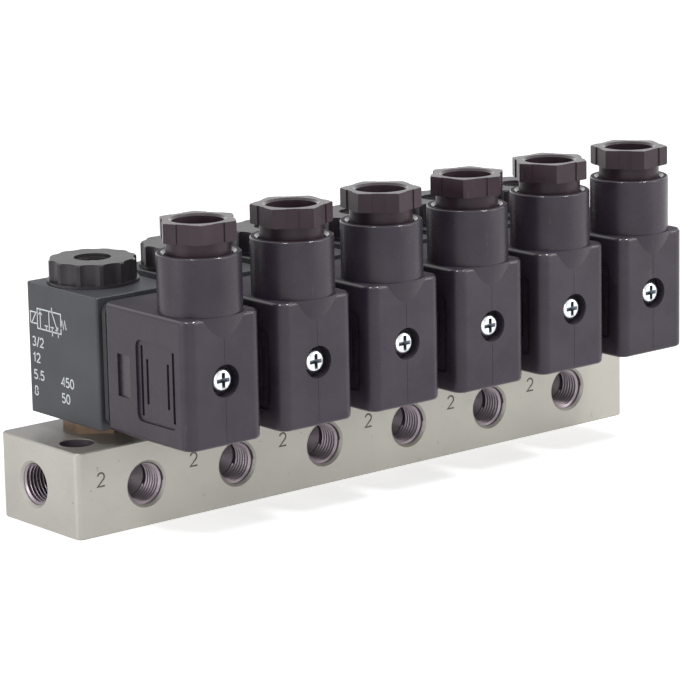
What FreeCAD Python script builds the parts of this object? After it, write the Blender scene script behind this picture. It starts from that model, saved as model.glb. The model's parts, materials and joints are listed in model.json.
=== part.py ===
import FreeCAD, Part
import math
import os

os.makedirs("parts", exist_ok=True)

Vector = FreeCAD.Vector
up = Vector(0, 0, 1)
towards_front = Vector(0, -1, 0)
towards_back = Vector(0, 1, 0)

# A bank of direct-acting 3/2 solenoid valves, normally closed, on one manifold bar.
# Millimetres. X runs along the manifold, -Y faces the outlet ports, +Z is up.
# The origin is the centre of the manifold's bottom face.
# Every piece of a station is drawn with the valve axis at X 0, Y 0 and is then placed.

# For drawing: the smallest length that counts, and how far a cut runs past a surface
length_tolerance = 1e-6
overcut = 1.0

# Stations along the manifold
station_count = 6
station_pitch = 26.0
end_margin = 19.0            # from the first valve axis to the end of the bar
valve_axis_offset = 3.0      # valve axis behind the middle of the bar

# Manifold bar
manifold_depth = 30.0
manifold_height = 20.0
manifold_corner_radius = 1.6 # on the upright edges at both ends
manifold_chamfer = 0.3
port_height = 9.8
port_thread_radius = 4.864   # major radius of a G1/8 thread
port_mouth_radius = 5.5
port_thread_depth = 7.5
port_drill_radius = 4.4
drill_tip_half_angle = 59.0
gallery_radius = 3.5
gallery_offset = 2.3         # inlet axis behind the middle of the bar
orifice_radius = 0.7
seat_radius = 1.6
seat_height = 1.0
cavity_radius = 6.0
cavity_depth = 6.0
riser_radius = 0.9
riser_entry_height = 1.0     # riser centre above the cavity floor where it enters
riser_overrun = 1.5          # past the cavity wall
mount_hole_radius = 2.25
mount_counterbore_radius = 4.0
mount_counterbore_depth = 4.2
mount_hole_end_inset = 6.3
mount_hole_front_inset = 8.7

# Sealing ring under the hexagon of the armature tube
o_ring_groove_radius = 6.85
o_ring_groove_depth = 1.0
o_ring_section_radius = 0.42

# Armature tube: threaded spigot, hexagon and thin guide tube in one turned piece
thread_clearance = 0.05
spigot_length = 4.5
hex_across_flats = 14.0
hex_height = 3.6
hex_corner_bevel = 0.6
hex_turn = 20.0              # as screwed home
tube_outer_radius = 4.5
tube_bore_radius = 3.8
tube_top_below_coil_top = 4.0
spring_chamber_radius = 4.9
spring_chamber_roof = 1.2    # below the top of the hexagon

# Plunger, its rubber seals and its return spring
plunger_clearance = 0.06
plunger_travel = 1.2
plunger_flange_radius = 4.6
plunger_flange_thickness = 1.0
plunger_slot_width = 1.4
plunger_slot_depth = 0.9
seal_fit = 0.03
seal_proud = 0.3
lower_seal_radius = 2.2
lower_seal_thickness = 1.8
upper_seal_radius = 1.8
upper_seal_thickness = 1.4
spring_wire_radius = 0.3
spring_mean_radius = 4.25
spring_turns = 4.5
spring_sections_per_turn = 14
spring_section_sides = 6

# Pole piece with the exhaust port
pole_depth = 5.5
pole_fit = 0.04
pole_stop_gap = 0.05
pole_collar_height = 2.0
stud_radius = 4.0
stud_top_below_nut = 1.4
stud_bevel = 0.4
exhaust_port_radius = 2.5    # major radius of an M5 thread
exhaust_port_depth = 5.0
exhaust_mouth_radius = 2.9
exhaust_passage_radius = 0.8

# Coil, overmoulded round its yoke and winding
coil_width = 22.0
coil_height = 30.4
coil_back_reach = 10.7
coil_front_reach = 16.4
coil_corner_radius = 0.6
coil_edge_radius = 0.3
coil_bore_clearance = 0.15
bobbin_wall = 0.95
bobbin_flange = 0.8
winding_outer_radius = 7.6
winding_fit = 0.1
yoke_thickness = 1.4
yoke_width = 14.0
yoke_cover = 1.0             # plastic over the outside of the yoke
yoke_front_reach = 8.5

# Nut that holds the coil down
coil_nut_height = 5.5
coil_nut_radius = 10.1
coil_nut_rim_radius = 10.5
coil_nut_rim_height = 0.7
coil_nut_bevel = 0.3
coil_nut_bore_radius = 4.1
coil_nut_mouth_radius = 4.25
coil_nut_mouth_depth = 0.7
coil_nut_ledge_radius = 3.2  # lip inside the mouth, over the stud
coil_nut_ledge_thickness = 0.6
flute_count = 12
flute_radius = 4.5
flute_depth = 0.8
coil_nut_turns = (20.7, 4.0, 13.0, 26.0, 9.5, 17.0)

# Terminals on the front of the coil
blade_thickness = 0.8
blade_width = 6.3
blade_spacing = 11.0
blade_reach = 9.0
blade_root = 3.0
earth_blade_drop = 7.5
blade_slot_clearance = 0.1

# Connector housing
gasket_thickness = 2.0
gasket_rim_thickness = 1.3   # the wide part, against the housing
gasket_rim_inset = 0.35
gasket_step_inset = 1.4      # the narrow part, against the coil
gasket_corner_radius = 2.4
housing_width = 20.9
housing_height = 29.2
housing_depth = 30.0
housing_corner_radius = 2.75
housing_back_corner_radius = 1.2
housing_edge_radius = 0.9
housing_wall = 1.8
housing_front_wall = 2.4
boss_axis_from_front = 8.4
boss_radius = 9.4
boss_height = 13.1
boss_lip_radius = 0.4
chin_half_width = 5.8        # at the top of the housing
chin_ledge = 0.12            # in front of the boss
chin_drop = 4.9
gland_thread_radius = 7.6    # major radius of the gland nut's thread
gland_thread_clearance = 0.08
gland_mouth_radius = 8.3
gland_thread_depth = 9.4
grommet_seat_radius = 7.0
grommet_ledge = 0.8          # above the top of the housing
cable_passage_radius = 5.2

# Relief moulded into both sides of the housing
panel_back_from_front = 18.6
panel_front_from_front = 4.2
panel_height = 18.5
panel_centre_drop = 1.05     # below the screw
panel_corner_radius = 1.8
panel_depth = 0.5
rib_groove_width = 0.8
rib_groove_depth = 0.5
long_groove_height = 15.9
long_groove_half_gap = 5.7
short_groove_height = 10.2
short_groove_half_gap = 3.75
groove_centre_from_front = 11.3
latch_back_from_front = 25.5
latch_front_from_front = 20.9
latch_height = 9.7
latch_depth = 0.6

# Terminal insert and its contacts
insert_clearance = 0.25
insert_depth = 13.0
contact_length = 8.0
contact_side = 3.6
contact_span = 7.6
contact_fit = 0.1
contact_front_inset = 1.2
contact_slot_depth = 4.2
wire_hole_radius = 1.1
wire_hole_depth = 3.0

# Connector screw
screw_radius = 1.5
screw_hole_clearance = 0.2
screw_head_radius = 2.8
screw_head_height = 2.0
screw_head_round = 1.2
screw_recess_radius = 3.7
screw_recess_depth = 2.8
screw_sleeve_radius = 4.7
screw_engagement = 6.0
screw_tip_gap = 0.8
screw_thread_fit = 0.05
cross_width = 0.9            # of the cross recess at its mouth
cross_length = 3.6
cross_floor_width = 0.6
cross_floor_length = 1.2
cross_depth = 1.4

# Gland nut, pressure ring and cable grommet
gland_collar_height = 2.8
gland_neck_radius = 7.2
gland_neck_in_boss = 1.0
gland_hex_across_flats = 16.0
gland_hex_height = 4.4
gland_hex_bevel = 0.2
gland_bore_radius = 5.8
gland_bore_bevel = 0.5
gland_flat_recess_depth = 0.25
gland_flat_recess_share = 1.0 / 3.0
gland_ring_thickness = 0.8
gland_ring_gap = 0.1
gland_ring_radius = 7.4
gland_ring_bore_radius = 5.2
grommet_fit = 0.15
grommet_bore_radius = 3.5
grommet_height = 4.5
gland_nut_turns = (-2.25, 24.0, 16.4, -16.4, -2.0, 9.2)

# Levels and places that follow from the sizes above
manifold_length = (station_count - 1) * station_pitch + 2 * end_margin
manifold_front = -manifold_depth / 2
cavity_floor = manifold_height - cavity_depth
seat_top = cavity_floor + seat_height
hex_top = manifold_height + hex_height
spigot_bottom = manifold_height - spigot_length
chamber_top = hex_top - spring_chamber_roof
coil_bottom = hex_top
coil_top = coil_bottom + coil_height
tube_top = coil_top - tube_top_below_coil_top
pole_face = tube_top - pole_depth
plunger_radius = tube_bore_radius - plunger_clearance
plunger_bottom = seat_top + seal_proud
flange_top = plunger_bottom + plunger_flange_thickness
upper_seal_top = pole_face - plunger_travel - pole_stop_gap
plunger_top = upper_seal_top - seal_proud
coil_bore_radius = tube_outer_radius + coil_bore_clearance
nut_top = coil_top + coil_nut_height
stud_top = nut_top - stud_top_below_nut
terminal_height = coil_bottom + coil_height / 2
coil_front = -coil_front_reach
housing_back = coil_front - gasket_thickness
housing_front = housing_back - housing_depth
housing_top = terminal_height + housing_height / 2
insert_front = housing_back - insert_depth
boss_axis = housing_front + boss_axis_from_front
boss_top = housing_top + boss_height
thread_bottom = boss_top - gland_thread_depth
grommet_bottom = housing_top + grommet_ledge
ring_bottom = grommet_bottom + grommet_height
gland_nut_bottom = ring_bottom + gland_ring_thickness + gland_ring_gap
neck_bottom = boss_top - gland_neck_in_boss
gland_hex_bottom = boss_top + gland_collar_height
gland_top = gland_hex_bottom + gland_hex_height
yoke_bottom = coil_bottom + yoke_cover
yoke_top = coil_top - yoke_cover
winding_bottom = yoke_bottom + yoke_thickness + bobbin_flange
winding_top = yoke_top - yoke_thickness - bobbin_flange
screw_seat = housing_front + screw_recess_depth
screw_tip = coil_front + screw_engagement


def block(x0, x1, y0, y1, z0, z1):
    return Part.makeBox(x1 - x0, y1 - y0, z1 - z0, Vector(x0, y0, z0))


def centred_block(width, y0, y1, middle_z, height):
    return block(-width / 2, width / 2, y0, y1, middle_z - height / 2, middle_z + height / 2)


def upright(radius, z0, z1, x=0, y=0):
    return Part.makeCylinder(radius, z1 - z0, Vector(x, y, z0), up)


def rod(radius, start, end):
    return Part.makeCylinder(radius, (end - start).Length, start, end - start)


def turned(outline):
    """A closed outline of radius and height pairs, turned about the valve axis."""
    corners = [Vector(radius, 0, height) for radius, height in outline]
    face = Part.Face(Part.makePolygon(corners + corners[:1]))
    return face.revolve(Vector(0, 0, 0), up, 360)


def hexagon_corner(across_flats):
    return across_flats / (2 * math.cos(math.radians(30)))


def hexagon(across_flats, z0, z1):
    reach = hexagon_corner(across_flats)
    corners = []
    for corner in range(6):
        angle = math.radians(60 * corner)
        corners.append(Vector(reach * math.cos(angle), reach * math.sin(angle), z0))
    return Part.Face(Part.makePolygon(corners + corners[:1])).extrude(Vector(0, 0, z1 - z0))


def fuse_all(shapes):
    return shapes[0].fuse(shapes[1:]).removeSplitter()


def rounded(shape, radius, wanted):
    return shape.makeFillet(radius, [edge for edge in shape.Edges if wanted(edge)])


def is_vertical(edge):
    return max(edge.BoundBox.XLength, edge.BoundBox.YLength) < length_tolerance


def lies_level(edge):
    return edge.BoundBox.ZLength < length_tolerance


def runs_back(edge):
    return max(edge.BoundBox.XLength, edge.BoundBox.ZLength) < length_tolerance


def runs_across(edge):
    return max(edge.BoundBox.YLength, edge.BoundBox.ZLength) < length_tolerance


def starts_at_height(edge, height):
    return abs(edge.BoundBox.ZMin - height) < length_tolerance


def station_x(station):
    return (station - (station_count - 1) / 2) * station_pitch


def at_station(shape, station):
    return shape.translated(Vector(station_x(station), valve_axis_offset, 0))


def at_every_station(pieces):
    return [at_station(piece, station) for station in range(station_count) for piece in pieces]


def save(name, shapes):
    if not isinstance(shapes, list):
        shapes = [shapes]
    solids = [solid for shape in shapes for solid in shape.Solids]
    result = solids[0] if len(solids) == 1 else Part.makeCompound(solids)
    result.exportStep("parts/" + name + ".step")


# Manifold bar

def drilled_port():
    """Tapped hole with its mouth at height 0, running down."""
    tip = port_drill_radius / math.tan(math.radians(drill_tip_half_angle))
    return turned([
        (0, 0), (port_mouth_radius, 0), (port_thread_radius, port_thread_radius - port_mouth_radius),
        (port_thread_radius, -port_thread_depth), (port_drill_radius, -port_thread_depth),
        (0, -port_thread_depth - tip)])


def port_facing(direction, mouth):
    port = drilled_port()
    port.Placement = FreeCAD.Placement(mouth, FreeCAD.Rotation(up, direction))
    return port


def valve_cavity(x):
    """Tapped hole for the armature tube, round the raised seat with its orifice."""
    y = valve_axis_offset
    cavity = upright(cavity_radius, cavity_floor, manifold_height, x, y)
    seat = upright(seat_radius, cavity_floor, seat_top, x, y)
    groove = upright(o_ring_groove_radius, manifold_height - o_ring_groove_depth, manifold_height, x, y)
    orifice = upright(orifice_radius, port_height, seat_top, x, y)
    mouth = Vector(x, manifold_front, port_height)
    entry = Vector(x, y - cavity_radius + riser_overrun, cavity_floor + riser_entry_height)
    return fuse_all([cavity.cut(seat), groove, orifice, rod(riser_radius, mouth, entry)])


def mounting_hole(side):
    x = side * (manifold_length / 2 - mount_hole_end_inset)
    y = manifold_front + mount_hole_front_inset
    shoulder = manifold_height - mount_counterbore_depth
    return upright(mount_hole_radius, 0, manifold_height, x, y).fuse(
        upright(mount_counterbore_radius, shoulder, manifold_height, x, y))


def manifold_block():
    half = manifold_length / 2
    bar = block(-half, half, manifold_front, -manifold_front, 0, manifold_height)
    bar = rounded(bar, manifold_corner_radius, is_vertical)
    bar = bar.makeChamfer(manifold_chamfer, [edge for edge in bar.Edges if lies_level(edge)])
    left_mouth = Vector(-half, gallery_offset, port_height)
    right_mouth = Vector(half, gallery_offset, port_height)
    cuts = [rod(gallery_radius, left_mouth, right_mouth)]
    for side, inlet in ((-1, left_mouth), (1, right_mouth)):
        cuts.append(port_facing(Vector(side, 0, 0), inlet))
        cuts.append(mounting_hole(side))
    for station in range(station_count):
        x = station_x(station)
        cuts.append(port_facing(towards_front, Vector(x, manifold_front, port_height)))
        cuts.append(valve_cavity(x))
    return bar.cut(cuts)


# Valve stem: armature tube, plunger, seals, spring and pole piece

def base_o_ring():
    middle = (cavity_radius - thread_clearance + o_ring_groove_radius) / 2
    height = manifold_height - o_ring_groove_depth / 2
    return Part.makeTorus(middle, o_ring_section_radius, Vector(0, 0, height), up)


def armature_tube():
    corner = hexagon_corner(hex_across_flats)
    bevelled = turned([
        (0, manifold_height), (corner, manifold_height), (corner, hex_top - hex_corner_bevel),
        (corner - 2 * hex_corner_bevel, hex_top), (0, hex_top)])
    head = hexagon(hex_across_flats, manifold_height, hex_top).common(bevelled)
    head.rotate(Vector(0, 0, 0), up, hex_turn)
    spigot = upright(cavity_radius - thread_clearance, spigot_bottom, manifold_height)
    tube = upright(tube_outer_radius, hex_top, tube_top)
    chamber = upright(spring_chamber_radius, spigot_bottom, chamber_top)
    bore = upright(tube_bore_radius, spigot_bottom, tube_top)
    return fuse_all([head, spigot, tube]).cut([chamber, bore])


def plunger():
    lower_pocket = seat_top + lower_seal_thickness
    upper_pocket = upper_seal_top - upper_seal_thickness
    body = turned([
        (0, lower_pocket), (lower_seal_radius, lower_pocket), (lower_seal_radius, plunger_bottom),
        (plunger_flange_radius, plunger_bottom), (plunger_flange_radius, flange_top),
        (plunger_radius, flange_top), (plunger_radius, plunger_top),
        (upper_seal_radius, plunger_top), (upper_seal_radius, upper_pocket), (0, upper_pocket)])
    slot_floor = plunger_radius - plunger_slot_depth
    slots = []
    for side in (-1, 1):
        inner, outer = sorted([side * slot_floor, side * (plunger_radius + overcut)])
        slots.append(block(inner, outer, -plunger_slot_width / 2, plunger_slot_width / 2,
                           flange_top, plunger_top))
    return body.cut(slots)


def plunger_seals():
    lower = upright(lower_seal_radius - seal_fit, seat_top, seat_top + lower_seal_thickness)
    upper = upright(upper_seal_radius - seal_fit, upper_seal_top - upper_seal_thickness, upper_seal_top)
    return [lower, upper]


def plunger_spring():
    """Round wire drawn as a ruled loft through sections set along the helix."""
    start = flange_top + spring_wire_radius
    rise = chamber_top - spring_wire_radius - start
    steps = round(spring_turns * spring_sections_per_turn)
    sections = []
    for step in range(steps + 1):
        turn = 2 * math.pi * spring_turns * step / steps
        height = start + rise * step / steps
        corners = []
        for corner in range(spring_section_sides):
            angle = 2 * math.pi * corner / spring_section_sides
            reach = spring_mean_radius + spring_wire_radius * math.cos(angle)
            corners.append(Vector(reach * math.cos(turn), reach * math.sin(turn),
                                  height + spring_wire_radius * math.sin(angle)))
        sections.append(Part.makePolygon(corners + corners[:1]))
    return Part.makeLoft(sections, True, True)


def pole_piece():
    fitted = tube_bore_radius - pole_fit
    collar_top = tube_top + pole_collar_height
    port_bottom = stud_top - exhaust_port_depth
    mouth_depth = exhaust_mouth_radius - exhaust_port_radius
    return turned([
        (exhaust_passage_radius, pole_face), (fitted, pole_face), (fitted, tube_top),
        (tube_outer_radius, tube_top), (tube_outer_radius, collar_top), (stud_radius, collar_top),
        (stud_radius, stud_top - stud_bevel), (stud_radius - stud_bevel, stud_top),
        (exhaust_mouth_radius, stud_top), (exhaust_port_radius, stud_top - mouth_depth),
        (exhaust_port_radius, port_bottom), (exhaust_passage_radius, port_bottom)])


# Coil, its magnetic parts and its nut

def coil_yoke():
    """Bent strip over the top, the back and the bottom of the winding."""
    back = coil_back_reach - yoke_cover
    outer = block(-yoke_width / 2, yoke_width / 2, -yoke_front_reach, back, yoke_bottom, yoke_top)
    inner = block(-yoke_width / 2, yoke_width / 2, -yoke_front_reach, back - yoke_thickness,
                  yoke_bottom + yoke_thickness, yoke_top - yoke_thickness)
    return outer.cut([inner, upright(coil_bore_radius, yoke_bottom, yoke_top)])


def winding_space():
    inner = coil_bore_radius + bobbin_wall
    return upright(winding_outer_radius, winding_bottom, winding_top).cut(
        upright(inner, winding_bottom, winding_top))


def coil_winding():
    inner = coil_bore_radius + bobbin_wall + winding_fit
    outer = winding_outer_radius - winding_fit
    return upright(outer, winding_bottom, winding_top).cut(upright(inner, winding_bottom, winding_top))


def blade_shapes(extra, root, tip):
    """Two power blades on edge and one earth blade lying flat, each widened by extra."""
    width = blade_width + 2 * extra
    thickness = blade_thickness + 2 * extra
    pieces = []
    for side in (-1, 1):
        blade = centred_block(thickness, tip, root, terminal_height, width)
        pieces.append(blade.translated(Vector(side * blade_spacing / 2, 0, 0)))
    pieces.append(centred_block(width, tip, root, terminal_height - earth_blade_drop, thickness))
    return pieces


def coil_blades():
    return blade_shapes(0, coil_front + blade_root, coil_front - blade_reach)


def coil():
    body = block(-coil_width / 2, coil_width / 2, coil_front, coil_back_reach, coil_bottom, coil_top)
    body = rounded(body, coil_corner_radius, is_vertical)
    body = rounded(body, coil_edge_radius, lies_level)
    bore = upright(coil_bore_radius, coil_bottom, coil_top)
    screw_hole = rod(screw_radius + screw_thread_fit, Vector(0, coil_front, terminal_height),
                     Vector(0, screw_tip + screw_tip_gap, terminal_height))
    cuts = [bore, coil_yoke(), winding_space(), screw_hole]
    cuts += blade_shapes(0, coil_front + blade_root, coil_front)
    return body.cut(cuts)


def coil_nut(turn):
    ledge_top = nut_top - coil_nut_mouth_depth
    ledge_bottom = ledge_top - coil_nut_ledge_thickness
    body = turned([
        (coil_nut_bore_radius, coil_top), (coil_nut_rim_radius, coil_top),
        (coil_nut_rim_radius, coil_top + coil_nut_rim_height),
        (coil_nut_radius, coil_top + coil_nut_rim_height), (coil_nut_radius, nut_top - coil_nut_bevel),
        (coil_nut_radius - coil_nut_bevel, nut_top), (coil_nut_mouth_radius, nut_top),
        (coil_nut_mouth_radius, ledge_top), (coil_nut_ledge_radius, ledge_top),
        (coil_nut_ledge_radius, ledge_bottom), (coil_nut_bore_radius, ledge_bottom)])
    reach = coil_nut_radius - flute_depth + flute_radius
    flutes = []
    for flute in range(flute_count):
        angle = math.radians(turn) + 2 * math.pi * flute / flute_count
        flutes.append(upright(flute_radius, coil_top + coil_nut_rim_height, nut_top,
                              reach * math.cos(angle), reach * math.sin(angle)))
    return body.cut(flutes)


# Connector: housing, gasket, insert, contacts and screw

def connector_gasket():
    rim_back = housing_back + gasket_rim_thickness
    plates = []
    for inset, front, back in ((gasket_rim_inset, housing_back, rim_back),
                               (gasket_step_inset, rim_back, coil_front)):
        plate = centred_block(housing_width - 2 * inset, front, back,
                              terminal_height, housing_height - 2 * inset)
        plates.append(rounded(plate, gasket_corner_radius, runs_back))
    screw_hole = rod(screw_radius + screw_hole_clearance, Vector(0, housing_back, terminal_height),
                     Vector(0, coil_front, terminal_height))
    return fuse_all(plates).cut(blade_shapes(blade_slot_clearance, coil_front, housing_back) + [screw_hole])


def side_relief(side):
    """Framed panel with upright grooves, and the ramped latch pocket behind it."""
    face = housing_width / 2
    low = terminal_height - panel_centre_drop - panel_height / 2
    panel = block(face - panel_depth, face + overcut, housing_front + panel_front_from_front,
                  housing_front + panel_back_from_front, low, low + panel_height)
    pieces = [rounded(panel, panel_corner_radius, runs_across)]
    groove_floor = face - panel_depth - rib_groove_depth
    for height, half_gap in ((long_groove_height, long_groove_half_gap),
                             (short_groove_height, short_groove_half_gap)):
        for direction in (-1, 1):
            y = housing_front + groove_centre_from_front + direction * half_gap
            z = terminal_height - panel_centre_drop
            pieces.append(block(groove_floor, face, y - rib_groove_width / 2, y + rib_groove_width / 2,
                                z - height / 2, z + height / 2))
    z = terminal_height - panel_centre_drop - latch_height / 2
    latch_back = housing_front + latch_back_from_front
    ramp = Part.makePolygon([
        Vector(face - latch_depth, latch_back, z), Vector(face, latch_back, z),
        Vector(face, housing_front + latch_front_from_front, z),
        Vector(face - latch_depth, latch_back, z)])
    pieces.append(Part.Face(ramp).extrude(Vector(0, 0, latch_height)))
    relief = fuse_all(pieces)
    return relief if side > 0 else relief.mirror(Vector(0, 0, 0), Vector(1, 0, 0))


def gland_boss():
    """Round cable entry, with the chin that carries its front down into the front face."""
    boss = upright(boss_radius, housing_top, boss_top)
    boss = rounded(boss, boss_lip_radius, lambda edge: starts_at_height(edge, boss_top))
    stand_out = boss_radius - boss_axis_from_front + chin_ledge
    cone_radius = (chin_half_width ** 2 + stand_out ** 2) / (2 * stand_out)
    cone = Part.makeCone(cone_radius - stand_out, cone_radius, chin_drop,
                         Vector(0, housing_front - stand_out + cone_radius, housing_top - chin_drop), up)
    half = housing_width / 2 - housing_corner_radius
    front_strip = block(-half, half, housing_front - boss_radius, housing_front + housing_edge_radius,
                        housing_top - chin_drop, housing_top)
    return boss.translated(Vector(0, boss_axis, 0)).fuse(cone.common(front_strip))


def gland_bore():
    bore_radius = gland_thread_radius + gland_thread_clearance
    mouth_depth = gland_mouth_radius - bore_radius
    bore = turned([
        (0, housing_top - housing_wall), (cable_passage_radius, housing_top - housing_wall),
        (cable_passage_radius, grommet_bottom), (grommet_seat_radius, grommet_bottom),
        (grommet_seat_radius, thread_bottom), (bore_radius, thread_bottom),
        (bore_radius, boss_top - mouth_depth), (gland_mouth_radius, boss_top), (0, boss_top)])
    return bore.translated(Vector(0, boss_axis, 0))


def connector_housing():
    shell = centred_block(housing_width, housing_front, housing_back, terminal_height, housing_height)
    for radius, face in ((housing_corner_radius, housing_front),
                         (housing_back_corner_radius, housing_back)):
        shell = rounded(shell, radius, lambda edge: is_vertical(edge)
                        and abs(edge.BoundBox.YMin - face) < length_tolerance)
    shell = rounded(shell, housing_edge_radius, lies_level)
    shell = shell.fuse(gland_boss()).removeSplitter()
    inside = centred_block(housing_width - 2 * housing_wall, housing_front + housing_front_wall,
                           housing_back, terminal_height, housing_height - 2 * housing_wall)
    axis_point = Vector(0, 0, terminal_height)
    sleeve = rod(screw_sleeve_radius, axis_point + Vector(0, housing_front + housing_front_wall, 0),
                 axis_point + Vector(0, insert_front, 0))
    screw_hole = rod(screw_radius + screw_hole_clearance, axis_point + Vector(0, housing_front, 0),
                     axis_point + Vector(0, insert_front, 0))
    recess = rod(screw_recess_radius, axis_point + Vector(0, housing_front, 0),
                 axis_point + Vector(0, screw_seat, 0))
    cuts = [inside.cut(sleeve), screw_hole, recess, gland_bore(), side_relief(-1), side_relief(1)]
    return shell.cut(cuts)


def contact_places():
    """Middle X, middle Z, width and height of the three contact blocks."""
    return [(-blade_spacing / 2, terminal_height, contact_side, contact_span),
            (blade_spacing / 2, terminal_height, contact_side, contact_span),
            (0, terminal_height - earth_blade_drop, contact_span, contact_side)]


def terminal_insert():
    body = centred_block(housing_width - 2 * (housing_wall + insert_clearance), insert_front,
                         housing_back, terminal_height,
                         housing_height - 2 * (housing_wall + insert_clearance))
    pocket_back = insert_front + contact_front_inset + contact_length + contact_fit
    cuts = blade_shapes(blade_slot_clearance, housing_back, pocket_back)
    for x, z, width, height in contact_places():
        pocket = centred_block(width + 2 * contact_fit, insert_front, pocket_back, z,
                               height + 2 * contact_fit)
        cuts.append(pocket.translated(Vector(x, 0, 0)))
    cuts.append(rod(screw_radius + screw_hole_clearance, Vector(0, insert_front, terminal_height),
                    Vector(0, housing_back, terminal_height)))
    return body.cut(cuts)


def terminal_contacts():
    front = insert_front + contact_front_inset
    back = front + contact_length
    slots = blade_shapes(blade_slot_clearance, back, back - contact_slot_depth)
    pieces = []
    for x, z, width, height in contact_places():
        contact = centred_block(width, front, back, z, height).translated(Vector(x, 0, 0))
        wire_hole = rod(wire_hole_radius, Vector(x, front, z), Vector(x, front + wire_hole_depth, z))
        pieces.append(contact.cut(slots + [wire_hole]))
    return pieces


def cross_outline(length, width, z):
    a = length / 2
    b = width / 2
    corners = [(a, -b), (a, b), (b, b), (b, a), (-b, a), (-b, b),
               (-a, b), (-a, -b), (-b, -b), (-b, -a), (b, -a), (b, -b)]
    points = [Vector(x, y, z) for x, y in corners]
    return Part.makePolygon(points + points[:1])


def connector_screw():
    """Pan head with a tapered cross recess, drawn upright and then laid into the housing."""
    head = upright(screw_head_radius, 0, screw_head_height)
    head = rounded(head, screw_head_round, lambda edge: starts_at_height(edge, screw_head_height))
    shank = upright(screw_radius, screw_seat - screw_tip, 0)
    cross = Part.makeLoft([
        cross_outline(cross_floor_length, cross_floor_width, screw_head_height - cross_depth),
        cross_outline(cross_length, cross_width, screw_head_height)], True, True)
    screw = fuse_all([head, shank]).cut(cross)
    screw.Placement = FreeCAD.Placement(Vector(0, screw_seat, terminal_height),
                                        FreeCAD.Rotation(up, towards_front))
    return screw


# Cable gland

def cable_grommet():
    ring = upright(grommet_seat_radius - grommet_fit, grommet_bottom, ring_bottom, 0, boss_axis)
    return ring.cut(upright(grommet_bore_radius, grommet_bottom, ring_bottom, 0, boss_axis))


def gland_ring():
    top = ring_bottom + gland_ring_thickness
    ring = upright(gland_ring_radius, ring_bottom, top, 0, boss_axis)
    return ring.cut(upright(gland_ring_bore_radius, ring_bottom, top, 0, boss_axis))


def gland_nut(turn):
    corner = hexagon_corner(gland_hex_across_flats)
    bevelled = turned([
        (0, gland_hex_bottom), (corner - gland_hex_bevel, gland_hex_bottom),
        (corner, gland_hex_bottom + gland_hex_bevel), (corner, gland_top - gland_hex_bevel),
        (corner - gland_hex_bevel, gland_top), (0, gland_top)])
    head = hexagon(gland_hex_across_flats, gland_hex_bottom, gland_top).common(bevelled)
    flat_middle = gland_hex_across_flats / 2
    half_recess = corner * gland_flat_recess_share / 2
    recesses = []
    for flat in range(6):
        recess = block(flat_middle - gland_flat_recess_depth, flat_middle + overcut,
                       -half_recess, half_recess, gland_hex_bottom, gland_top)
        recess.rotate(Vector(0, 0, 0), up, 30 + 60 * flat)
        recesses.append(recess)
    thread = upright(gland_thread_radius, gland_nut_bottom, neck_bottom)
    neck = upright(gland_neck_radius, neck_bottom, gland_hex_bottom)
    bore = turned([
        (0, gland_nut_bottom), (gland_bore_radius, gland_nut_bottom),
        (gland_bore_radius, gland_top - gland_bore_bevel),
        (gland_bore_radius + gland_bore_bevel, gland_top), (0, gland_top)])
    nut = fuse_all([head.cut(recesses), thread, neck]).cut(bore)
    nut.rotate(Vector(0, 0, 0), up, turn)
    return nut.translated(Vector(0, boss_axis, 0))


save("manifold_block", manifold_block())

shared_pieces = {
    "armature_tube": armature_tube(),
    "plunger": plunger(),
    "plunger_seal": Part.makeCompound(plunger_seals()),
    "plunger_spring": plunger_spring(),
    "coil": coil(),
    "connector_housing": connector_housing(),
}
for station in range(station_count):
    number = str(station + 1)
    for name, shape in shared_pieces.items():
        save(name + "_" + number, at_station(shape, station))
    for name, draw, turns in (("coil_nut", coil_nut, coil_nut_turns),
                              ("gland_nut", gland_nut, gland_nut_turns)):
        save(name + "_" + number, at_station(draw(turns[station % len(turns)]), station))

save("pole_pieces", at_every_station([pole_piece()]))
save("base_o_rings", at_every_station([base_o_ring()]))
save("coil_yokes", at_every_station([coil_yoke()]))
save("coil_windings", at_every_station([coil_winding()]))
save("coil_blades", at_every_station(coil_blades()))
save("connector_gaskets", at_every_station([connector_gasket()]))
save("terminal_inserts", at_every_station([terminal_insert()]))
save("terminal_contacts", at_every_station(terminal_contacts()))
save("connector_screws", at_every_station([connector_screw()]))
save("cable_grommets", at_every_station([cable_grommet()]))
save("gland_rings", at_every_station([gland_ring()]))
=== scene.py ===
import json
import math
import bmesh
import bpy
from mathutils import Matrix, Vector


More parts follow.
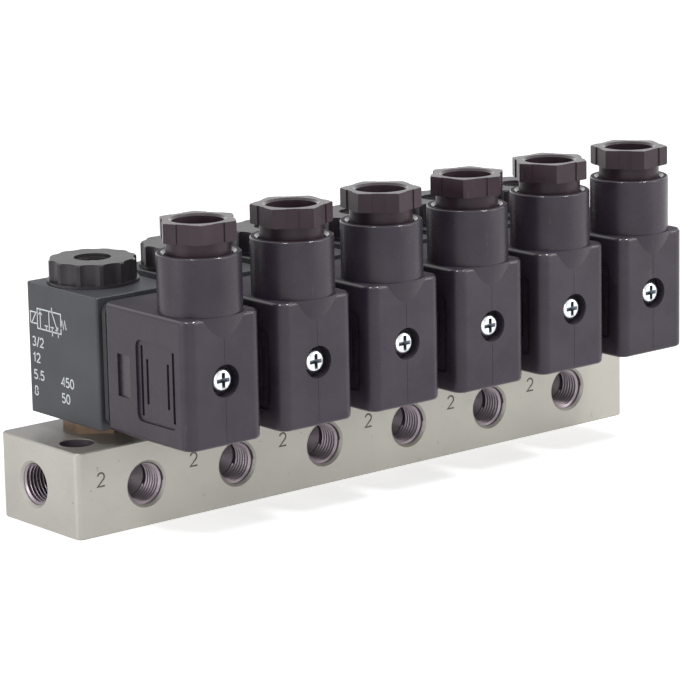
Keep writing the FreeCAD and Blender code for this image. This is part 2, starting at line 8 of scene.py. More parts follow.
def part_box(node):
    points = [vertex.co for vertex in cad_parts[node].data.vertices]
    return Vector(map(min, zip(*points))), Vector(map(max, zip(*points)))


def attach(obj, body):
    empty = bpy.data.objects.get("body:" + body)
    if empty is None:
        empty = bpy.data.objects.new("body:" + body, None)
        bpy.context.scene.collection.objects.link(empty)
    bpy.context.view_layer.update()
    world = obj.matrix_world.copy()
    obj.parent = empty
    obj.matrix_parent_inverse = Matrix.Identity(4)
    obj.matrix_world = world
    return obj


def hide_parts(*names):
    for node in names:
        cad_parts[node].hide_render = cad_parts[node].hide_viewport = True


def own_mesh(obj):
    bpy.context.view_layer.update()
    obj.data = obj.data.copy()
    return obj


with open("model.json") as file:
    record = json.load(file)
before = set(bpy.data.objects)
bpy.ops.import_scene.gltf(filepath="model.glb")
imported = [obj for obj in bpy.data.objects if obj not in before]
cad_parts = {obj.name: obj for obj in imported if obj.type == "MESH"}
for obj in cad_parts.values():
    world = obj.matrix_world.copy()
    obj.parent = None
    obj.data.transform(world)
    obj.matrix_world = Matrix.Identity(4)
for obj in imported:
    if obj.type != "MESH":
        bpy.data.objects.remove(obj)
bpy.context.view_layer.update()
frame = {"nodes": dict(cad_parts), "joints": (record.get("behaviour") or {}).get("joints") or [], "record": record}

mm = 0.001
stations = sorted(name for name in frame["nodes"] if name.startswith("coil_nut_"))


def nodeMiddle(name):
    low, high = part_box(name)
    return (low + high) / 2


# camera, matched to the vanishing lines of the bar in the photograph

cameraLook = {
    "place": (-0.51552, -0.63459, 0.21494),
    "turn": -39.33,          # degrees about the vertical, 0 looks straight at the outlet ports
    "rise": 12.83,
    "roll": -1.19,
    "lens": 185.57,
    "shift": (0.00028, 0.00879),
    "nearest": 0.01,         # closer than this nothing is drawn
}


def placeCamera(look):
    turn, rise, roll = (math.radians(look[key]) for key in ("turn", "rise", "roll"))
    level = math.cos(rise)
    back = Vector((math.sin(turn) * level, -math.cos(turn) * level, math.sin(rise)))
    right = (-back).cross(Vector((0, 0, 1))).normalized()
    above = right.cross(-back)
    rolledRight = right * math.cos(roll) + above * math.sin(roll)
    rolledAbove = above * math.cos(roll) - right * math.sin(roll)
    data = bpy.data.cameras.new("photoCamera")
    data.lens = look["lens"]
    data.shift_x, data.shift_y = look["shift"]
    data.clip_start = look["nearest"]
    camera = bpy.data.objects.new("photoCamera", data)
    turned = Matrix((rolledRight, rolledAbove, back)).transposed().to_4x4()
    camera.matrix_world = Matrix.Translation(look["place"]) @ turned
    bpy.context.scene.collection.objects.link(camera)
    bpy.context.scene.camera = camera


placeCamera(cameraLook)
print("camera placed")


# shader maths: a wire is one socket, and expressions on wires add their Math nodes

class Wire:
    def __init__(self, tree, socket=None):
        self.tree = tree
        self.socket = socket

    def node(self, kind, settings, sockets, output=0):  # any other node, its settings come first
        made = self.tree.nodes.new(kind)
        for name, value in settings.items():
            setattr(made, name, value)
        feed(made, sockets)
        return Wire(self.tree, made.outputs[output])

    def beside(self, output):  # another output of the same node
        return Wire(self.tree, self.socket.node.outputs[output])

    def maths(self, operation, *values):
        return self.node("ShaderNodeMath", {"operation": operation}, dict(enumerate(values)))

    def __add__(self, other):
        return self.maths("ADD", self, other)

    def __sub__(self, other):
        return self.maths("SUBTRACT", self, other)

    def __rsub__(self, other):
        return self.maths("SUBTRACT", other, self)

    def __mul__(self, other):
        return self.maths("MULTIPLY", self, other)

    def __pow__(self, other):
        return self.maths("POWER", self, other)

    def __rpow__(self, other):
        return self.maths("POWER", other, self)

    def __abs__(self):
        return self.maths("ABSOLUTE", self)

    __radd__ = __add__
    __rmul__ = __mul__


def feed(node, sockets):  # each named socket gets a link from a wire, or a value of its own
    for name, value in sockets.items():
        if isinstance(value, Wire):
            node.id_data.links.new(value.socket, node.inputs[name])
        else:
            node.inputs[name].default_value = value


def newFinish(name):
    material = bpy.data.materials.new(name)
    material.use_nodes = True
    tree = material.node_tree
    tree.nodes.clear()
    skin = tree.nodes.new("ShaderNodeBsdfPrincipled")
    output = tree.nodes.new("ShaderNodeOutputMaterial")
    tree.links.new(skin.outputs[0], output.inputs["Surface"])
    place = Wire(tree).node("ShaderNodeTexCoord", {}, {}, "Object")
    return material, place, skin


def axesOf(vector):
    split = vector.node("ShaderNodeSeparateXYZ", {}, {"Vector": vector})
    return [split.beside(axis) for axis in "XYZ"]


def larger(first, second):
    return first.maths("MAXIMUM", first, second)


def smaller(first, second):
    return first.maths("MINIMUM", first, second)


def distance(along, across):
    return (along * along + across * across) ** 0.5


def noise(place, scale, detail=2.0, rough=0.5):
    return place.node("ShaderNodeTexNoise", {}, {
        "Vector": place, "Scale": scale, "Detail": detail, "Roughness": rough})


def stretched(place, scale):  # the same place, with each axis scaled on its own
    return place.node("ShaderNodeMapping", {}, {"Vector": place, "Scale": scale})


def between(mask, low, high):  # lifts a mask so that low becomes 0 and high becomes 1
    return mask.node("ShaderNodeMapRange", {"clamp": True}, {
        "Value": mask, "From Min": low, "From Max": high})


def opaque(colour):
    return (*colour, 1) if isinstance(colour, tuple) else colour


def mixColours(mask, first, second):  # by number, because the sockets of a Mix node share names
    sockets = {0: mask, 6: opaque(first), 7: opaque(second)}
    return mask.node("ShaderNodeMix", {"data_type": "RGBA"}, sockets, 2)


def twoTone(mask, look, first, second):  # the same, with both colours named in a dictionary
    return mixColours(mask, look[first], look[second])


def bump(height, depth):
    return height.node("ShaderNodeBump", {}, {"Height": height, "Distance": depth}, "Normal")


# moulded plastics: slow clouds of tone, fine spark texture, a few pale scuffs, and upper edges
# that the mould left polished

plasticLooks = {             # topRoughness is added where a face looks up
    "connector_plastic": {
        "colour": (0.0275, 0.021, 0.0325), "paler": (0.040, 0.0315, 0.045),
        "roughness": 0.28, "topRoughness": 0.35, "gloss": 0.28,
        "depth": 0.00003, "grainScale": 5200, "scuffs": 0.2},
    "coil_plastic": {
        "colour": (0.043, 0.045, 0.051), "paler": (0.059, 0.062, 0.068),
        "roughness": 0.40, "topRoughness": 0.08, "gloss": 0.25,
        "depth": 0.00005, "grainScale": 4200, "scuffs": 0.2},
    "nut_plastic": {
        "colour": (0.020, 0.017, 0.020), "paler": (0.037, 0.033, 0.036),
        "roughness": 0.32, "topRoughness": 0.0, "gloss": 0.24,
        "depth": 0.00003, "grainScale": 4800, "scuffs": 0.35},
    "gland_plastic": {
        "colour": (0.028, 0.0165, 0.023), "paler": (0.044, 0.029, 0.037),
        "roughness": 0.30, "topRoughness": -0.18, "gloss": 0.18,
        "depth": 0.00003, "grainScale": 5600, "scuffs": 0.3},
    "insert_plastic": {
        "colour": (0.060, 0.060, 0.063), "paler": (0.090, 0.090, 0.092),
        "roughness": 0.5, "topRoughness": 0.0, "gloss": 0.35,
        "depth": 0.00003, "grainScale": 4000, "scuffs": 0.1},
}

plasticWear = {
    "cloudScale": 90,
    "cloudRoughness": 0.16,
    "grainRoughness": 0.10,
    "scratchScale": (900, 900, 130),     # drawn out up and down
    "scuffPatchScale": 60,
    "scuffColour": (0.20, 0.19, 0.20),
    "scuffRoughness": 0.25,
    "topSlopes": (0.7, 0.95),            # how far a face looks up, where 1 is straight up
    "rimSlopes": ((0.3, 0.5), (0.9, 0.75)),
    "rimPolish": 0.14,                   # roughness that the upper edges lose
    "rimCoatRoughness": 0.10,
}


def mouldedPlastic(name, look):
    material, place, skin = newFinish(name)
    wear = plasticWear
    clouds = noise(place, wear["cloudScale"], 3)
    grain = noise(place, look["grainScale"], 2, 0.6)
    scratches = noise(stretched(place, wear["scratchScale"]), 1, 4, 0.7)
    patches = between(noise(place, wear["scuffPatchScale"], 2), 0.5, 0.62)
    scuffs = between(scratches, 0.63, 0.74) * patches * look["scuffs"]
    tone = twoTone(between(clouds, 0.3, 0.7), look, "colour", "paler")
    upward = axesOf(place.node("ShaderNodeNewGeometry", {}, {}, "Normal"))[2]
    onTop = between(upward, *wear["topSlopes"])
    steepEnd, flatEnd = wear["rimSlopes"]
    onRim = between(upward, *steepEnd) * between(upward, *flatEnd)
    evenly = look["roughness"] - wear["grainRoughness"] / 2
    moulded = onTop * look["topRoughness"] - onRim * wear["rimPolish"] + evenly
    worn = ((clouds - 0.5) * wear["cloudRoughness"] + grain * wear["grainRoughness"]
            + scuffs * wear["scuffRoughness"])
    feed(skin, {
        "Base Color": mixColours(scuffs, tone, wear["scuffColour"]),
        "Roughness": worn + moulded,
        "Normal": bump(grain, look["depth"]),
        "Specular IOR Level": look["gloss"],
        "Coat Weight": onRim,
        "Coat Roughness": wear["rimCoatRoughness"],
    })
    return material


# rubbers: darker and more matt than the plastics, with talc in patches

rubberLooks = {
    "seal_rubber": {"colour": (0.022, 0.022, 0.023), "roughness": 0.58},
    "gasket_rubber": {"colour": (0.015, 0.014, 0.016), "roughness": 0.66},
}

rubberWear = {
    "talcColour": (0.07, 0.068, 0.07),
    "talcScale": 420,
    "talcRoughness": 0.2,
    "grainScale": 3000,
    "depth": 0.00003,
}


def mouldedRubber(name, look):
    material, place, skin = newFinish(name)
    wear = rubberWear
    talc = between(noise(place, wear["talcScale"], 4, 0.65), 0.52, 0.75)
    grain = noise(place, wear["grainScale"], 2)
    feed(skin, {
        "Base Color": mixColours(talc * 0.5, look["colour"], wear["talcColour"]),
        "Roughness": talc * wear["talcRoughness"] + look["roughness"],
        "Normal": bump(grain, wear["depth"]),
    })
    return material


# metals: streaks along the way each piece was cut, drawn or turned, and darker stains

metalLooks = {
    "brass": {
        "colour": (0.32, 0.22, 0.15), "darker": (0.16, 0.115, 0.09),
        "roughness": 0.36, "streaks": (500, 500, 14000), "depth": 0.000012},
    "stainless_steel": {
        "colour": (0.70, 0.70, 0.69), "darker": (0.52, 0.52, 0.52),
        "roughness": 0.18, "streaks": (400, 400, 16000), "depth": 0.00001},
    "spring_steel": {
        "colour": (0.48, 0.48, 0.49), "darker": (0.34, 0.34, 0.35),
        "roughness": 0.34, "streaks": (3000, 3000, 3000), "depth": 0.000006},
    "yoke_steel": {
        "colour": (0.56, 0.56, 0.54), "darker": (0.40, 0.41, 0.40),
        "roughness": 0.38, "streaks": (700, 700, 5000), "depth": 0.00001},
    # painted shade: the threads inside the ports are given darker, more purple colours than the bar
    "cut_aluminium": {
        "colour": (0.31, 0.265, 0.295), "darker": (0.20, 0.165, 0.19),
        "roughness": 0.32, "streaks": (1400, 1400, 1400), "depth": 0.000006},
    "tinned_brass": {
        "colour": (0.62, 0.60, 0.56), "darker": (0.46, 0.43, 0.37),
        "roughness": 0.33, "streaks": (900, 5000, 900), "depth": 0.000008},
    "zinc_plated_steel": {
        "colour": (0.74, 0.76, 0.79), "darker": (0.50, 0.53, 0.57), "stainScale": 420,
        "roughness": 0.17, "streaks": (2600, 900, 2600), "depth": 0.000014,
        # painted shade in the cross of each screw head
        "inCross": (0.15, 0.17, 0.20), "crossRoughness": 0.25,
        "crossReach": (1.85 * mm, 1.75 * mm),    # from the axis of the screw
        "crossDepth": (0.04 * mm, 0.2 * mm)},    # under the face of the screw's head
}

metalWear = {                # a metal may set its own
    "stainScale": 260,
    "stained": 0.7,          # share of the darker colour in a full stain
    "stainRoughness": 0.14,
    "streakRoughness": 0.14,
}


def insideCross(place, look):  # 1 on the walls and floor of the cross in each connector screw
    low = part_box("connector_screws")[0]
    middle = nodeMiddle("connector_screws")
    first = nodeMiddle(stations[0]).x
    pitch = nodeMiddle(stations[1]).x - first
    x, y, z = axesOf(place)
    across = x.maths("FLOORED_MODULO", x - (first - pitch / 2), pitch) - pitch / 2
    reach = distance(across, z - middle.z)
    return between(y - low.y, *look["crossDepth"]) * between(reach, *look["crossReach"])


def workedMetal(name, ownLook):
    material, place, skin = newFinish(name)
    look = {**metalWear, **ownLook}
    streaks = noise(stretched(place, look["streaks"]), 1, 3, 0.6)
    stains = between(noise(place, look["stainScale"], 4, 0.6), 0.42, 0.72)
    tone = twoTone(stains * look["stained"], look, "colour", "darker")
    worn = streaks * look["streakRoughness"] + stains * look["stainRoughness"]
    # painted shade: the walls and floor of each screw's cross get a dark colour, and more roughness
    if "inCross" in look:
        cross = insideCross(place, look)
        tone = mixColours(cross, tone, look["inCross"])
        worn = worn + cross * look["crossRoughness"]
    feed(skin, {
        "Base Color": tone,
        "Metallic": 1.0,
        "Roughness": worn + (look["roughness"] - look["streakRoughness"] / 2),
        "Normal": bump(streaks, look["depth"]),
    })
    return material


# the bar: tumbled after milling, fine and even, with painted shade inside its holes and on its top face

barLook = {
    "colour": (0.385, 0.37, 0.34), "paler": (0.455, 0.44, 0.40), "cloudScale": 34,
    "handled": (0.33, 0.315, 0.29), "patchScale": 230,
    "tumbled": (0.34, 0.325, 0.305), "tumbledScale": 3400,
    "pore": (0.14, 0.13, 0.12), "poreScale": 900,
    "milling": (260, 5200, 5200),            # drawn out along the bar
    # painted shade: the top face is given a darker colour than the sides
    "topFace": (0.25, 0.24, 0.225),
    "topDepths": (0.06 * mm, 0.02 * mm),
    # painted shade inside the ports, darker deeper in
    "portMouth": (0.25, 0.21, 0.235), "deepInPort": (0.17, 0.14, 0.16),
    "portDepths": (1.5 * mm, 7 * mm),        # all three under the bar's nearest outer face
    "drilledDepths": (0.35 * mm, 1.1 * mm),
    "boltDepths": (0.1 * mm, 0.3 * mm),
    # painted shade in the counterbores of the mounting holes
    "boltHole": (0.10, 0.085, 0.10),
    "boltReach": (4.5 * mm, 4.3 * mm),       # from the axis of the hole
    "metallic": 0.5, "topLessMetallic": 0.35,
    "roughness": 0.46, "topLessRough": 0.1,
    "depth": 0.000022,
}


def depthInBar(place):  # how far a point lies under the nearest outer face of the bar
    low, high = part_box("manifold_block")
    middle = (low + high) / 2
    x, y, z = ((high - low)[axis] / 2 - abs(along - middle[axis])
               for axis, along in enumerate(axesOf(place)))
    return smaller(smaller(x, y), z)


def insideBoltHoles(x, y, look):  # 1 in the counterbores of the mounting holes
    bolts = next(mount for mount in frame["record"]["mounts"] if mount["kind"] == "bolt_pattern")
    along = abs(x) - bolts["dims"]["spacing_x_mm"] / 2 * mm
    return between(distance(along, y - bolts["pos_m"][1]), *look["boltReach"])


def satinAluminium(name, look):
    material, place, skin = newFinish(name)
    clouds = noise(place, look["cloudScale"], 3)
    milled = noise(stretched(place, look["milling"]), 1, 4, 0.62)
    tumbled = noise(place, look["tumbledScale"], 3, 0.7)
    pores = between(noise(place, look["poreScale"], 2), 0.72, 0.78)
    patches = between(noise(place, look["patchScale"], 4, 0.65), 0.5, 0.78)
    pale = twoTone(between(clouds, 0.3, 0.7), look, "colour", "paler")
    handled = mixColours(patches * 0.3, pale, look["handled"])
    worn = mixColours(between(tumbled, 0.35, 0.7) * 0.4, handled, look["tumbled"])
    x, y, z = axesOf(place)
    depth = depthInBar(place)
    boltHoles = insideBoltHoles(x, y, look)
    # painted shade: darker inside the ports, from their mouths inward, and in the counterbores
    drilled = larger(between(depth, *look["drilledDepths"]),
                     boltHoles * between(depth, *look["boltDepths"]))
    ports = twoTone(between(depth, *look["portDepths"]), look, "portMouth", "deepInPort")
    shade = mixColours(boltHoles, ports, look["boltHole"])
    # painted shade: the top face gets a darker colour; it is also made less metallic and smoother
    topFace = between(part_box("manifold_block")[1].z - z, *look["topDepths"])
    withPaintedShade = mixColours(drilled, mixColours(topFace, worn, look["topFace"]), shade)
    uneven = (tumbled - 0.5) * 0.18 + (milled - 0.5) * 0.12
    feed(skin, {
        "Base Color": mixColours(pores * 0.6, withPaintedShade, look["pore"]),
        "Metallic": look["metallic"] - topFace * look["topLessMetallic"],
        "Roughness": uneven - topFace * look["topLessRough"] + look["roughness"],
        "Normal": bump(milled * 0.6 + tumbled * 0.8 - pores * 2.0, look["depth"]),
    })
    return material


# enamelled copper wire, one turn above the next

windingLook = {
    "colour": (0.56, 0.25, 0.12), "darker": (0.38, 0.14, 0.06),
    "roughness": 0.22, "turnScale": 650, "depth": 0.0001,
}


def copperWinding(name, look):
    material, place, skin = newFinish(name)
    turns = place.node("ShaderNodeTexWave", {"wave_type": "BANDS", "bands_direction": "Z"}, {
        "Vector": place, "Scale": look["turnScale"], "Distortion": 0.3})
    clouds = noise(place, 300, 3)
    feed(skin, {
        "Base Color": twoTone(clouds, look, "colour", "darker"),
        "Metallic": 1.0,
        "Roughness": clouds * 0.2 + look["roughness"],
        "Normal": bump(turns, look["depth"]),
    })
    return material


# pad print and engraving paint, thin in places

inkLooks = {
    "whitePrint": {"colour": (0.60, 0.64, 0.66), "roughness": 0.55},
    "stampedPaint": {"colour": (0.075, 0.068, 0.062), "roughness": 0.6},
}
thinInk = 0.72               # what is left of the colour where the ink is thin


def printedInk(name, look):
    material, place, skin = newFinish(name)
    thin = between(noise(place, 1500, 4, 0.6), 0.55, 0.8)
    thinColour = tuple(part * thinInk for part in look["colour"])
    feed(skin, {
        "Base Color": mixColours(thin * 0.5, look["colour"], thinColour),
        "Roughness": thin * 0.2 + look["roughness"],
        "Normal": bump(thin, 0.00001),
    })
    return material


finishMakers = [
    (mouldedPlastic, plasticLooks),
    (mouldedRubber, rubberLooks),
    (workedMetal, metalLooks),
    (satinAluminium, {"manifold_aluminium": barLook}),
    (copperWinding, {"copper_wire": windingLook}),
    (printedInk, inkLooks),
]
finishes = {name: maker(name, look)
            for maker, looks in finishMakers for name, look in looks.items()}

for row in frame["record"]["subparts"]:
    frame["nodes"][row["node"]].material_slots[0].material = finishes[row["material_slot"]]


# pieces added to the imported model

def finishPiece(name, bm, finish, body="valve_bank", smooth=True):
    mesh = bpy.data.meshes.new(name)
    bmesh.ops.triangulate(bm, faces=bm.faces)
    bm.to_mesh(mesh)
    bm.free()
    mesh.materials.append(finishes[finish])
    for face in mesh.polygons:
        face.use_smooth = smooth
    piece = bpy.data.objects.new(name, mesh)
    bpy.context.scene.collection.objects.link(piece)
    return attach(piece, body)


def joinInto(target, source, moved):
    copy = bpy.data.meshes.new("part")
    source.transform(moved)
    source.to_mesh(copy)
    source.free()
    target.from_mesh(copy)
    bpy.data.meshes.remove(copy)


# threads: one ridge wound down each hole, on the wall that the solids leave plain

portThread = {
    "rootRadius": 4.864 * mm,
    "crestRadius": 4.283 * mm,
    "pitch": 0.907 * mm,
    "crestWidth": 0.16 * mm,
    "start": 0.80 * mm,       # under the mouth of the hole
    "end": 7.08 * mm,
    "runIn": 0.7,             # turns over which the ridge rises
    "mouthOffset": 4.0 * mm,  # mouth of the hole from its place in the record
    "stepsPerTurn": 40,
}

exhaustThread = {
    "rootRadius": 2.5 * mm,
    "crestRadius": 2.13 * mm,
    "pitch": 0.8 * mm,
    "crestWidth": 0.14 * mm,
    "start": 0.5 * mm,
    "end": 4.4 * mm,
    "runIn": 0.5,
    "mouthOffset": 2.7 * mm,
    "stepsPerTurn": 24,
}

threadFoot = {
    "width": 0.92,            # of the pitch
    "radius": 1.004,          # of the root's, so that the foot stands in the wall
    "firstRise": 0.02,        # of the ridge's height
}


def threadRidge(look):  # the mouth of its hole is at height 0
    bm = bmesh.new()
    footRadius = look["rootRadius"] * threadFoot["radius"]
    halfFoot = look["pitch"] * threadFoot["width"] / 2
    halfCrest = look["crestWidth"] / 2
    corners = [(footRadius, halfFoot), (look["crestRadius"], halfCrest),
               (look["crestRadius"], -halfCrest), (footRadius, -halfFoot)]
    profile = [bm.verts.new((radius, 0, height - look["start"])) for radius, height in corners]
    face = bm.faces.new(profile)
    turns = (look["end"] - look["start"]) / look["pitch"]
    steps = round(turns * look["stepsPerTurn"])
    bmesh.ops.spin(bm, geom=[face], cent=(0, 0, 0), axis=(0, 0, 1), angle=turns * 2 * math.pi,
                   steps=steps, dvec=(0, 0, -look["pitch"] / look["stepsPerTurn"]))
    bm.verts.ensure_lookup_table()
    risingSteps = look["runIn"] * look["stepsPerTurn"]
    for index, vertex in enumerate(bm.verts):  # the ridge rises out of the wall as it sets in
        rise = min(1, index // len(corners) / risingSteps + threadFoot["firstRise"])
        radius = vertex.co.xy.length
        sunk = (look["rootRadius"] - radius) * (1 - rise) if radius < look["rootRadius"] else 0
        vertex.co.xy *= (radius + sunk) / radius
    bmesh.ops.recalc_face_normals(bm, faces=bm.faces)
    return bm


def cutThreads(pieceName, prefixes, look, finish):
    bm = bmesh.new()
    for mount in frame["record"]["mounts"]:
        if mount["kind"] == "threaded_hole" and mount["name"].startswith(prefixes):
            outward = Vector(mount["axis"])
            mouth = Vector(mount["pos_m"]) + outward * look["mouthOffset"]
            facing = outward.to_track_quat("Z", "Y").to_matrix().to_4x4()
            joinInto(bm, threadRidge(look), Matrix.Translation(mouth) @ facing)
    finishPiece(pieceName, bm, finish, smooth=False)


cutThreads("port_threads", ("outlet", "inlet"), portThread, "cut_aluminium")
cutThreads("exhaust_threads", ("exhaust",), exhaustThread, "stainless_steel")
print("threads cut")


# each return spring: a welded copy of its node, put in its place and riding with the valve bank

weldReach = 0.002 * mm        # closer points of a copied node become one


def pressSpring(joint):
    spring = joint["deforming_nodes"][0]
    node = frame["nodes"][spring["node"]]
    bm = bmesh.new()
    bm.from_mesh(node.data)
    bm.transform(node.matrix_world)
    bmesh.ops.remove_doubles(bm, verts=bm.verts, dist=weldReach)
    piece = finishPiece("return_" + spring["node"], bm, "spring_steel")
    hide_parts(spring["node"])
    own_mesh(piece)


for joint in frame["joints"]:
    if joint.get("deforming_nodes"):
        pressSpring(joint)


# strokes: fine ribbons for prints, stamped digits and mould lines

sharpestCorner = 0.5          # past this a ribbon's corner isn't drawn out further


def arc(middle, radii, start, end, steps=10):
    points = []
    for step in range(steps + 1):
        angle = math.radians(start + (end - start) * step / steps)
        x = middle[0] + radii[0] * math.cos(angle)
        y = middle[1] + radii[1] * math.sin(angle)
        points.append((x, y))
    return points


digitPaths = {  # one unit high, open paths from the first stroke to the last
    "0": arc((0.31, 0.5), (0.31, 0.5), 90, 450, 20),
    "1": [(0.06, 0.76), (0.34, 1.0), (0.34, 0.0)],
    "2": arc((0.31, 0.70), (0.30, 0.30), 165, -38) + [(0.0, 0.0), (0.64, 0.0)],
    "3": arc((0.29, 0.745), (0.27, 0.255), 155, -80) + arc((0.29, 0.25), (0.31, 0.25), 75, -155),
    "4": [(0.48, 0.0), (0.48, 1.0), (0.0, 0.28), (0.66, 0.28)],
    "5": [(0.58, 1.0), (0.10, 1.0), (0.06, 0.56)] + arc((0.29, 0.31), (0.32, 0.31), 125, -150),
    "8": arc((0.31, 0.74), (0.26, 0.26), -90, 270, 16)
    + arc((0.31, 0.25), (0.31, 0.25), 90, -270, 18),
    ".": [(0.10, 0.0), (0.10, 0.10)],
    "/": [(0.0, -0.08), (0.42, 1.08)],
}
digitWidths = {"1": 0.5, ".": 0.2, "/": 0.42, "other": 0.64}
digitGap = 0.2


def addRibbon(bm, path, width, proud, onFace):
    points = [Vector(point) for point in path]
    closed = (points[0] - points[-1]).length < width * 0.01
    if closed:
        points.pop()
    rings = []
    for index, point in enumerate(points):
        runs = []
        if index > 0 or closed:
            runs.append((point - points[index - 1]).normalized())
        if index + 1 < len(points) or closed:
            runs.append((points[(index + 1) % len(points)] - point).normalized())
        run = sum(runs, Vector((0, 0))).normalized()
        reach = width / 2 / max(run.dot(runs[0]), sharpestCorner)
        side = Vector((-run.y, run.x)) * reach
        corners = [(point + side, 0), (point + side, proud),
                   (point - side, proud), (point - side, 0)]
        rings.append([bm.verts.new(onFace @ Vector((*corner, height)))
                      for corner, height in corners])
    pairs = list(zip(rings, rings[1:])) + ([(rings[-1], rings[0])] if closed else [])
    for first, second in pairs:
        for corner in range(4):
            following = (corner + 1) % 4
            bm.faces.new((first[corner], first[following], second[following], second[corner]))
    if not closed:
        bm.faces.new(rings[0])
        bm.faces.new(list(reversed(rings[-1])))


def addNumber(bm, text, place, look, onFace):
    x, y = place
    height = look["height"]
    for character in text:
        path = [(x + px * height, y + py * height) for px, py in digitPaths[character]]
        addRibbon(bm, path, look["width"], look["proud"], onFace)
        x += (digitWidths.get(character, digitWidths["other"]) + digitGap) * height


def faceFrame(origin, right, above):  # right and above lie in the face, height stands out of it
    outward = Vector(right).cross(Vector(above))
    turned = Matrix((Vector(right), Vector(above), outward)).transposed().to_4x4()
    return Matrix.Translation(origin) @ turned


# what is printed on the side of each coil: the symbol of a 3/2 valve, and plain numbers below it

coilPrint = {
    "proud": 0.012 * mm,
    "back": 12.6 * mm,        # Y of the symbol's left end
    "foot": 43.6 * mm,        # Z of the symbol's boxes
    "boxSide": 4.6 * mm,
    "lineWidth": 0.30 * mm,
    "height": 2.05 * mm,      # of the numbers
    "width": 0.33 * mm,       # of their strokes
    "numbers": [              # with their places, in mm along and above the symbol's foot
        ("3/2", 0.5, -4.25), ("12", 0.5, -8.0), ("5.5", 0.7, -12.0), ("450", 11.4, -12.0),
        ("8", 0.7, -15.8), ("50", 11.4, -15.8)],
}


def valveSymbol(side):  # 3/2 valve, solenoid on the left and spring on the right
    left, middle, right = side * 0.6, side * 1.6, side * 2.6
    low, high = side * 0.22, side * 0.78                # of the solenoid
    head = side * 0.14                                  # half width of the arrows and stops
    stub = side * 0.22
    openInlet, openOutlet = left + side * 0.25, left + side * 0.75
    inlet, outlet = middle + side * 0.25, middle + side * 0.75
    boxes = [
        [(left, 0), (right, 0), (right, side), (left, side), (left, 0)],
        [(middle, 0), (middle, side)],
    ]
    solenoid = [
        [(0, low), (left, low)],
        [(0, low), (0, high), (left, high)],
        [(side * 0.12, low), (side * 0.48, high)],
    ]
    leftBox = [
        [(openInlet, 0), (openInlet, side)],
        [(openInlet - head, side - 2 * head), (openInlet, side - head),
         (openInlet + head, side - 2 * head)],
        [(openOutlet, 0), (openOutlet, stub)],
        [(openOutlet - head, stub), (openOutlet + head, stub)],
    ]
    rightBox = [
        [(inlet, 0), (inlet, stub)],
        [(inlet - head, stub), (inlet + head, stub)],
        [(inlet, side), (outlet, 0)],
        [(outlet - 1.6 * head, head * 0.9), (outlet - head * 0.3, head * 0.7),
         (outlet - head * 0.1, head * 2.2)],
    ]
    lines = [
        [(inlet, side), (inlet, side + stub)],
        [(inlet, 0), (inlet, -stub)],
        [(outlet, 0), (outlet, -stub)],
    ]
    spring = [(right + side * 0.11 * step, side * (0.72 if step % 2 else 0.28))
              for step in range(5)]
    return boxes + solenoid + leftBox + rightBox + lines + [spring]


def printCoils(look):
    bm = bmesh.new()
    for name in stations:
        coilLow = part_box(name.replace("coil_nut", "coil"))[0]
        onSide = faceFrame((coilLow.x, look["back"], look["foot"]), (0, -1, 0), (0, 0, 1))
        for path in valveSymbol(look["boxSide"]):
            addRibbon(bm, path, look["lineWidth"], look["proud"], onSide)
        for text, along, above in look["numbers"]:
            addNumber(bm, text, (along * mm, above * mm), look, onSide)
    finishPiece("coil_print", bm, "whitePrint", smooth=False)


# a stamped 2 beside each outlet port

portDigit = {
    "text": "2",
    "height": 3.1 * mm,
    "width": 0.42 * mm,       # of the stroke
    "proud": 0.010 * mm,
    "middle": (0.31, 0.5),    # of the digit, as shares of its height
    "offset": -12.6 * mm,     # of that middle from the axis of the port
    "level": 13.1 * mm,
}


def stampDigits(look):
    bm = bmesh.new()
    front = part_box("manifold_block")[0].y
    for name in stations:
        x = nodeMiddle(name).x + look["offset"]
        onBar = faceFrame((x, front, look["level"]), (1, 0, 0), (0, 0, 1))
        place = [-share * look["height"] for share in look["middle"]]
        addNumber(bm, look["text"], place, look, onBar)
    finishPiece("port_digits", bm, "stampedPaint", smooth=False)


# the mould's parting line down the front of each housing

mouldLine = {
    "width": 0.22 * mm,
    "proud": 0.05 * mm,
    "front": -45.4 * mm,
    "runs": [(25.2 * mm, 34.9 * mm), (42.7 * mm, 48.4 * mm)],   # below and above the screw
}


def drawMouldLines(look):
    bm = bmesh.new()
    for name in stations:
        onHousing = faceFrame((nodeMiddle(name).x, look["front"], 0), (1, 0, 0), (0, 0, 1))
        for low, high in look["runs"]:
            addRibbon(bm, [(0, low), (0, high)], look["width"], look["proud"], onHousing)
    finishPiece("housing_mould_lines", bm, "connector_plastic", smooth=False)


printCoils(coilPrint)
stampDigits(portDigit)
drawMouldLines(mouldLine)
print("prints, digits and mould lines added")


# floor, world and lamps

stageLook = {
    "floorColour": (0.80, 0.80, 0.80),
    "floorSize": 12.0,
    "nearGlow": 0.58,         # only to the camera and in reflections, so the floor reads white
    "farGlow": 0.68,          # beyond the reach of the lamps
    "glowReach": (0.25, 0.9),
    "worldLevel": 0.44,
    "lampAim": (0, 0, 0.03),
}

lampLooks = {
    "topRightSoftbox": {"place": (0.25, -0.44, 0.72), "size": (0.12, 0.12), "watts": 2.7},
    "topLeftSoftbox": {"place": (-0.38, -0.17, 0.74), "size": (0.10, 0.10), "watts": 1.5},
    "leftSoftbox": {"place": (-0.85, 0.10, 0.12), "size": (0.5, 0.4), "watts": 2.95},
    "frontSoftbox": {"place": (0.62, -0.75, 0.28), "size": (0.4, 0.5), "watts": 3.6,
                     "colour": (1.0, 0.985, 0.94)},
    "fillSoftbox": {"place": (-0.45, -0.80, 0.25), "size": (0.4, 0.4), "watts": 0.9},
}


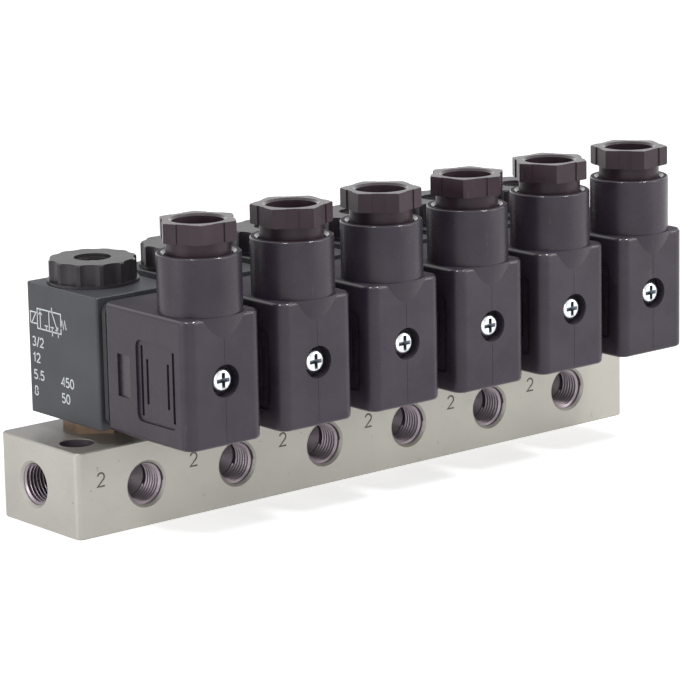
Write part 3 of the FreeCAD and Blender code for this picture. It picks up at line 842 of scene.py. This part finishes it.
def whereShown(tree):  # 1 to the camera, and in what mirrors or lets through
    seen = Wire(tree).node("ShaderNodeLightPath", {}, {}, "Is Camera Ray")
    mirrored = seen.beside("Is Glossy Ray")
    through = seen.beside("Is Transmission Ray")
    return larger(larger(seen, mirrored), through)


def dressFloor(look):
    bm = bmesh.new()
    bmesh.ops.create_grid(bm, x_segments=2, y_segments=2, size=look["floorSize"] / 2)
    mesh = bpy.data.meshes.new("floor")
    bm.to_mesh(mesh)
    bm.free()
    floor = bpy.data.objects.new("floor", mesh)
    bpy.context.scene.collection.objects.link(floor)
    material, place, skin = newFinish("paleFloor")
    x, y, z = axesOf(place)
    outward = between(distance(x, y), *look["glowReach"])
    glow = mixColours(outward, (look["nearGlow"],) * 3, (look["farGlow"],) * 3)
    feed(skin, {
        "Base Color": opaque(look["floorColour"]),
        "Roughness": 0.9,
        "Specular IOR Level": 0.0,
        "Emission Strength": 1.0,
        "Emission Color": mixColours(whereShown(place.tree), (0.0, 0.0, 0.0), glow),
    })
    mesh.materials.append(material)


def dressWorld(look):
    world = bpy.data.worlds.new("studio")
    world.use_nodes = True
    tree = world.node_tree
    tree.nodes.clear()
    level = whereShown(tree) * (1 - look["worldLevel"]) + look["worldLevel"]
    back = level.node("ShaderNodeBackground", {}, {"Color": (1, 1, 1, 1), "Strength": level})
    output = tree.nodes.new("ShaderNodeOutputWorld")
    tree.links.new(back.socket, output.inputs["Surface"])
    bpy.context.scene.world = world


def hangLamps(looks, target):
    for name, look in looks.items():
        data = bpy.data.lights.new(name, "AREA")
        data.shape = "RECTANGLE"
        data.size, data.size_y = look["size"]
        data.energy = look["watts"]
        data.color = look.get("colour", (1, 1, 1))
        lamp = bpy.data.objects.new(name, data)
        place = Vector(look["place"])
        aim = (Vector(target) - place).to_track_quat("-Z", "Y")
        lamp.matrix_world = Matrix.Translation(place) @ aim.to_matrix().to_4x4()
        bpy.context.scene.collection.objects.link(lamp)


dressFloor(stageLook)
dressWorld(stageLook)
hangLamps(lampLooks, stageLook["lampAim"])
bpy.context.scene.view_settings.view_transform = "Standard"
print("stage dressed")

bpy.context.view_layer.update()
